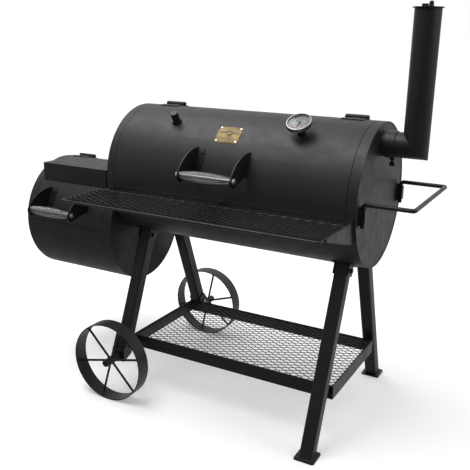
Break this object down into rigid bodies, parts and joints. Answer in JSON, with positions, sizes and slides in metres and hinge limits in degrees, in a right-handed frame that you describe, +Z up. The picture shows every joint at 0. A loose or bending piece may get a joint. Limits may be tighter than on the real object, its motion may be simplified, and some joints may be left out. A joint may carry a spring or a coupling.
{
  "type": "barrel charcoal grill",
  "caption": "Black steel barrel charcoal grill with an offset firebox, hinged lids, chimney, mesh front and lower shelves, and a wheeled stand.",
  "frame": {"origin": "on the floor, under the middle of the whole grill's box", "axes": "+X along the barrel from the firebox to the chimney, +Y from the front shelf to the back, +Z up"},
  "size_m": [1.475, 0.8255, 1.3438],
  "materials": {
    "barrel_paint": "matt heat-resistant black paint, slightly greyed",
    "lid_paint": "matt heat-resistant black paint, slightly greyed",
    "firebox_paint": "matt heat-resistant black paint",
    "stand_paint": "satin black paint",
    "stack_paint": "satin black paint with soft vertical streaks",
    "handle_paint": "satin black paint",
    "mesh_paint": "satin black paint on expanded steel",
    "wheel_paint": "satin dark grey-black paint",
    "coil_chrome": "bright plated spring wire",
    "zinc_plated": "bright zinc-plated fasteners",
    "grate_steel": "dull plated wire",
    "plate_brass": "satin brass-coloured plate",
    "gauge_chrome": "polished rolled bezel",
    "dial_print": "pale satin printed dial",
    "needle_paint": "matt black",
    "gauge_glass": "clear flat glass"
  },
  "bodies": {
    "chassis": {"barrel_shell": "barrel_paint", "barrel_end_left": "barrel_paint", "barrel_end_right": "barrel_paint", "cooking_grates": "grate_steel", "hinge_fixed_leaves": "barrel_paint", "hinge_pins": "zinc_plated", "front_shelf_frame": "stand_paint", "front_shelf_mesh": "mesh_paint", "front_shelf_brackets": "stand_paint", "pull_handle": "handle_paint", "pull_handle_brackets": "handle_paint", "stack_stub": "stack_paint", "stack_collar": "stack_paint", "stack_set_screw": "stack_paint", "stack_pipe": "stack_paint", "stack_cap_bolt": "stack_paint", "leg_front_left": "stand_paint", "leg_back_left": "stand_paint", "leg_front_right": "stand_paint", "leg_back_right": "stand_paint", "leg_saddles": "stand_paint", "foot_plates": "stand_paint", "axle_brackets": "stand_paint", "hex_bolts": "zinc_plated", "axles": "zinc_plated", "lower_shelf_frame": "stand_paint", "lower_shelf_mesh": "mesh_paint", "firebox_upper_shell": "firebox_paint", "firebox_lower_shell": "firebox_paint", "firebox_end_left": "firebox_paint", "firebox_end_right": "firebox_paint", "firebox_throat": "firebox_paint", "charcoal_grate": "grate_steel"},
    "main_lid": {"main_lid": "lid_paint", "lid_hinge_leaves": "lid_paint", "lid_handle_brackets": "handle_paint", "lid_handle_rod": "zinc_plated", "lid_handle_spring": "coil_chrome", "lid_handle_bolts": "handle_paint", "nameplate": "plate_brass", "nameplate_rivets": "zinc_plated", "thermometer_stem": "handle_paint", "thermometer_case": "gauge_chrome", "thermometer_dial": "dial_print", "thermometer_lens": "gauge_glass", "lid_port_plug": "handle_paint"},
    "thermometer_needle": {"thermometer_needle": "needle_paint"},
    "firebox_lid": {"firebox_lid": "firebox_paint", "firebox_hinge_leaves": "firebox_paint", "firebox_handle_brackets": "handle_paint", "firebox_handle_rod": "zinc_plated", "firebox_handle_spring": "coil_chrome", "firebox_handle_bolts": "handle_paint"},
    "side_door": {"firebox_door": "firebox_paint"},
    "air_damper": {"air_damper": "firebox_paint"},
    "stack_cap": {"stack_cap": "stack_paint"},
    "front_wheel": {"front_wheel_rim": "wheel_paint", "front_wheel_spokes": "wheel_paint"},
    "rear_wheel": {"rear_wheel_rim": "wheel_paint", "rear_wheel_spokes": "wheel_paint"}
  },
  "joints": [
    {"name": "main_lid_hinge", "type": "hinge", "parent": "chassis", "child": "main_lid", "pos_m": [0.13, 0.08314, 1.004], "axis": [-1, 0, 0], "range_deg": [0, 90]},
    {"name": "firebox_lid_hinge", "type": "hinge", "parent": "chassis", "child": "firebox_lid", "pos_m": [-0.5265, 0.11225, 0.76948], "axis": [-1, 0, 0], "range_deg": [0, 80]},
    {"name": "side_door_hinge", "type": "hinge", "parent": "chassis", "child": "side_door", "pos_m": [-0.7195, -0.13275, 0.528], "axis": [0, 0, 1], "range_deg": [0, 110]},
    {"name": "air_damper_turn", "type": "hinge", "parent": "side_door", "child": "air_damper", "pos_m": [-0.7195, 0.08025, 0.527], "axis": [1, 0, 0], "range_deg": [0, 60]},
    {"name": "stack_cap_swing", "type": "hinge", "parent": "chassis", "child": "stack_cap", "pos_m": [0.6775, 0.05025, 1.324], "axis": [0, 0, 1], "range_deg": [0, 120]},
    {"name": "front_wheel_spin", "type": "hinge", "parent": "chassis", "child": "front_wheel", "pos_m": [-0.2415, -0.27925, 0.14], "axis": [0, 1, 0], "continuous": true},
    {"name": "rear_wheel_spin", "type": "hinge", "parent": "chassis", "child": "rear_wheel", "pos_m": [-0.2415, 0.37975, 0.14], "axis": [0, 1, 0], "continuous": true},
    {"name": "thermometer_needle_turn", "type": "hinge", "parent": "main_lid", "child": "thermometer_needle", "pos_m": [0.3545, -0.09806, 0.99322], "axis": [0, 0.5534, -0.8329], "range_deg": [0, 270]}
  ]
}
